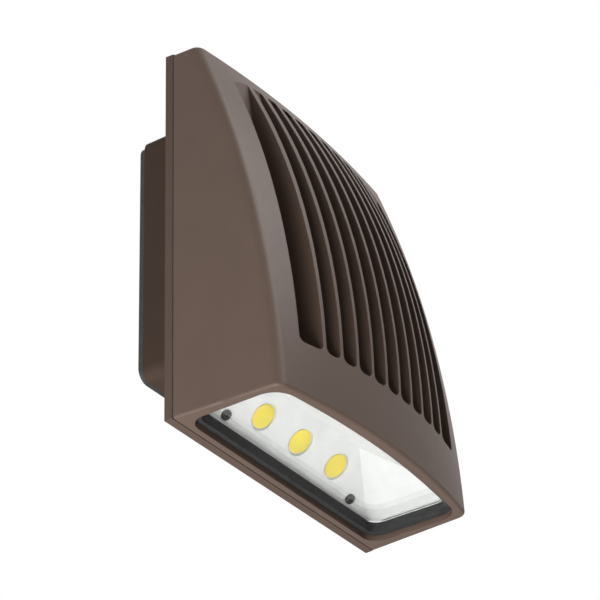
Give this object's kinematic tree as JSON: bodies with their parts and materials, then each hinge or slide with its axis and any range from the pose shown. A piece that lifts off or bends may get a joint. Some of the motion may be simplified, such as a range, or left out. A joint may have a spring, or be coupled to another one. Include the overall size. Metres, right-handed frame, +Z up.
{
  "type": "wall pack light",
  "caption": "Down-facing LED wall pack light: a bowed, finned bronze housing with a glass lens below, hinged like a door on a wall-mounted wiring box.",
  "frame": {"origin": "on the wall plane, at the centre of the wiring box and of its junction box slots", "axes": "+Z up, +Y into the wall, +X to the right as seen by someone facing the light"},
  "size_m": [0.1704, 0.1064, 0.214],
  "materials": {
    "housing_paint": "satin dark bronze powder coat on die-cast aluminium",
    "box_paint": "satin dark bronze powder coat on die-cast aluminium",
    "black_rubber": "matte black silicone",
    "lens_glass": "clear flat tempered glass",
    "white_enamel": "matte white high-reflectance coat on sheet aluminium",
    "steel": "stainless steel",
    "dark_screw": "dark bronze painted stainless screw",
    "board_white": "white solder mask on an aluminium board",
    "emitter_frame": "white emitter package",
    "phosphor": "yellow phosphor under clear silicone",
    "pad_grey": "grey heat-conducting pad",
    "driver_case": "black potted driver case",
    "lead_black": "black wire jacket",
    "lead_white": "white wire jacket",
    "lead_green": "green wire jacket",
    "lead_red": "red wire jacket",
    "plug_white": "moulded nylon plug",
    "ground_green": "green dyed steel screw"
  },
  "bodies": {
    "wall_box": {"back_box": "box_paint", "wall_gasket": "black_rubber", "box_seal": "black_rubber", "hinge_pins": "steel", "closing_screws": "steel", "closing_washers": "steel", "ground_screw": "ground_green"},
    "housing": {"front_housing": "housing_paint", "rear_cover": "box_paint", "cover_seal": "black_rubber", "cover_screws": "dark_screw", "lens_seal": "black_rubber", "lens": "lens_glass", "reflector": "white_enamel", "reflector_screws": "dark_screw", "led_board": "board_white", "thermal_pad": "pad_grey", "led_emitters": "emitter_frame", "led_phosphors": "phosphor", "board_screws": "steel", "driver": "driver_case", "driver_screws": "steel", "lead_line": "lead_black", "lead_neutral": "lead_white", "lead_ground": "lead_green", "led_lead_plus": "lead_red", "led_lead_minus": "lead_black", "grommet": "black_rubber", "supply_plug": "plug_white"}
  },
  "joints": [
    {"name": "housing_hinge", "type": "hinge", "parent": "wall_box", "child": "housing", "pos_m": [0.07, -0.0275, 0], "axis": [0, 0, 1], "range_deg": [0, 100]}
  ]
}
